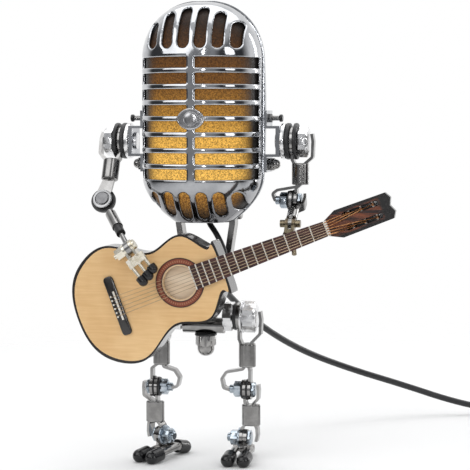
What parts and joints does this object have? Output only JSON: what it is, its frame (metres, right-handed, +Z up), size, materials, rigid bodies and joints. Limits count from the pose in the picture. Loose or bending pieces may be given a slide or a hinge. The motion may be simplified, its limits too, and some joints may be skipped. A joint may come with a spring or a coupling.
{
  "type": "robot shaped desk lamp",
  "caption": "Desk lamp shaped as a robot guitarist: a lit microphone head on a small body of bolts and lugs, with jointed arms and legs, a guitar and a corded switch.",
  "frame": {"origin": "middle of the footprint of the robot and its guitar, on the surface that it stands on, without the cord", "axes": "+Z up from the feet to the head, the face and the guitar towards -Y, the guitar's head towards +X"},
  "size_m": [0.252, 0.1785, 0.2106],
  "materials": {
    "chrome": "polished",
    "zinc": "satin zinc plate",
    "steel": "satin",
    "rubber": "matt",
    "grille_cloth": "gold glitter weave",
    "bulb": "frosted, lit",
    "black_plastic": "matt",
    "spruce": "satin lacquer",
    "guitar_black": "gloss black lacquer",
    "rosewood": "oiled",
    "rosette": "satin lacquer",
    "bone": "satin",
    "string": "wound",
    "hand_metal": "pale nickel brass",
    "cord": "matt black sleeve"
  },
  "bodies": {
    "torso": {"torso_tube": "steel", "neck_yoke": "steel", "neck_pivot_screws": "zinc", "pelvis_cap_nut": "steel", "hip_bolts": "zinc", "hip_rubbers": "rubber", "guitar_body": "guitar_black", "guitar_top": "spruce", "guitar_rosette": "rosette", "guitar_bridge": "guitar_black", "fretboard": "rosewood", "frets_and_nut": "bone", "guitar_neck": "guitar_black", "tuner_posts": "bone", "strings": "string", "cord_gland": "black_plastic", "neck_lead": "cord", "cord_lead": "cord", "cord_middle": "cord", "cord_coil": "cord", "switch_case": "black_plastic", "usb_plug": "black_plastic"},
    "head": {"head_grille_front": "chrome", "head_grille_rear": "chrome", "head_seam_band": "chrome", "grille_cloth": "grille_cloth", "head_base": "chrome", "badge": "chrome", "bulb_holder": "black_plastic", "bulb": "bulb", "shoulder_brackets": "zinc", "shoulder_bolts": "zinc", "shoulder_rubbers": "rubber", "bracket_screws": "zinc"},
    "upper_arm_left": {"upper_arm_left": "steel", "elbow_pin_left": "zinc"},
    "upper_arm_right": {"upper_arm_right": "steel", "elbow_pin_right": "zinc", "elbow_rubbers_right": "rubber"},
    "forearm_left": {"forearm_left": "steel", "forearm_rubbers_left": "rubber"},
    "forearm_right": {"forearm_right": "steel"},
    "hand_left": {"hand_left": "hand_metal", "fingertips_left": "rubber"},
    "hand_right": {"hand_right": "hand_metal"},
    "switch_rocker": {"switch_rocker": "black_plastic"},
    "thigh_left": {"thigh_left": "steel", "knee_pin_left": "zinc", "knee_rubbers_left": "rubber"},
    "shin_left": {"shin_left": "steel", "ankle_pin_left": "zinc"},
    "foot_left": {"foot_left": "steel", "foot_caps_left": "rubber"},
    "thigh_right": {"thigh_right": "steel", "knee_pin_right": "zinc", "knee_rubbers_right": "rubber"},
    "shin_right": {"shin_right": "steel", "ankle_pin_right": "zinc"},
    "foot_right": {"foot_right": "steel", "foot_caps_right": "rubber"}
  },
  "joints": [
    {"name": "head_tilt", "type": "hinge", "parent": "torso", "child": "head", "pos_m": [-0.0182, 0.0097, 0.114], "axis": [1, 0, 0], "range_deg": [-12, 3]},
    {"name": "shoulder_left", "type": "hinge", "parent": "head", "child": "upper_arm_left", "pos_m": [-0.0621, 0.0087, 0.1472], "axis": [1, 0, 0], "range_deg": [-90, 0]},
    {"name": "shoulder_right", "type": "hinge", "parent": "head", "child": "upper_arm_right", "pos_m": [0.0257, 0.0087, 0.1472], "axis": [1, 0, 0], "range_deg": [0, 90]},
    {"name": "elbow_left", "type": "hinge", "parent": "upper_arm_left", "child": "forearm_left", "pos_m": [-0.0642, -0.00377, 0.12046], "axis": [0, 0.9063, -0.4226], "range_deg": [-16, 2]},
    {"name": "wrist_left", "type": "hinge", "parent": "forearm_left", "child": "hand_left", "pos_m": [-0.045, -0.0289, 0.1004], "axis": [0.806, 0.0188, 0.5916], "range_deg": [-60, 0]},
    {"name": "elbow_right", "type": "hinge", "parent": "upper_arm_right", "child": "forearm_right", "pos_m": [0.023, 0.0087, 0.1203], "axis": [1, 0, 0], "range_deg": [0, 60]},
    {"name": "wrist_right", "type": "hinge", "parent": "forearm_right", "child": "hand_right", "pos_m": [0.0236, -0.00523, 0.11055], "axis": [1, 0, 0], "range_deg": [0, 45]},
    {"name": "hip_left", "type": "hinge", "parent": "torso", "child": "thigh_left", "pos_m": [-0.0385, 0.0037, 0.067], "axis": [1, 0, 0], "range_deg": [-25, 35]},
    {"name": "knee_left", "type": "hinge", "parent": "thigh_left", "child": "shin_left", "pos_m": [-0.0418, 0.0037, 0.0334], "axis": [1, 0, 0], "range_deg": [0, 60]},
    {"name": "ankle_left", "type": "hinge", "parent": "shin_left", "child": "foot_left", "pos_m": [-0.0398, 0.0037, 0.011], "axis": [0.9135, -0.4067, 0], "range_deg": [-15, 15]},
    {"name": "hip_right", "type": "hinge", "parent": "torso", "child": "thigh_right", "pos_m": [0.0021, 0.0037, 0.067], "axis": [1, 0, 0], "range_deg": [-25, 35]},
    {"name": "knee_right", "type": "hinge", "parent": "thigh_right", "child": "shin_right", "pos_m": [0.0026, 0.0037, 0.0334], "axis": [1, 0, 0], "range_deg": [0, 60]},
    {"name": "ankle_right", "type": "hinge", "parent": "shin_right", "child": "foot_right", "pos_m": [0.0021, 0.0037, 0.011], "axis": [1, 0, 0], "range_deg": [-15, 15]},
    {"name": "switch_rocker", "type": "hinge", "parent": "torso", "child": "switch_rocker", "pos_m": [0.1338, 0.0827, 0.0094], "axis": [1, 0, 0], "range_deg": [-8, 8]}
  ]
}
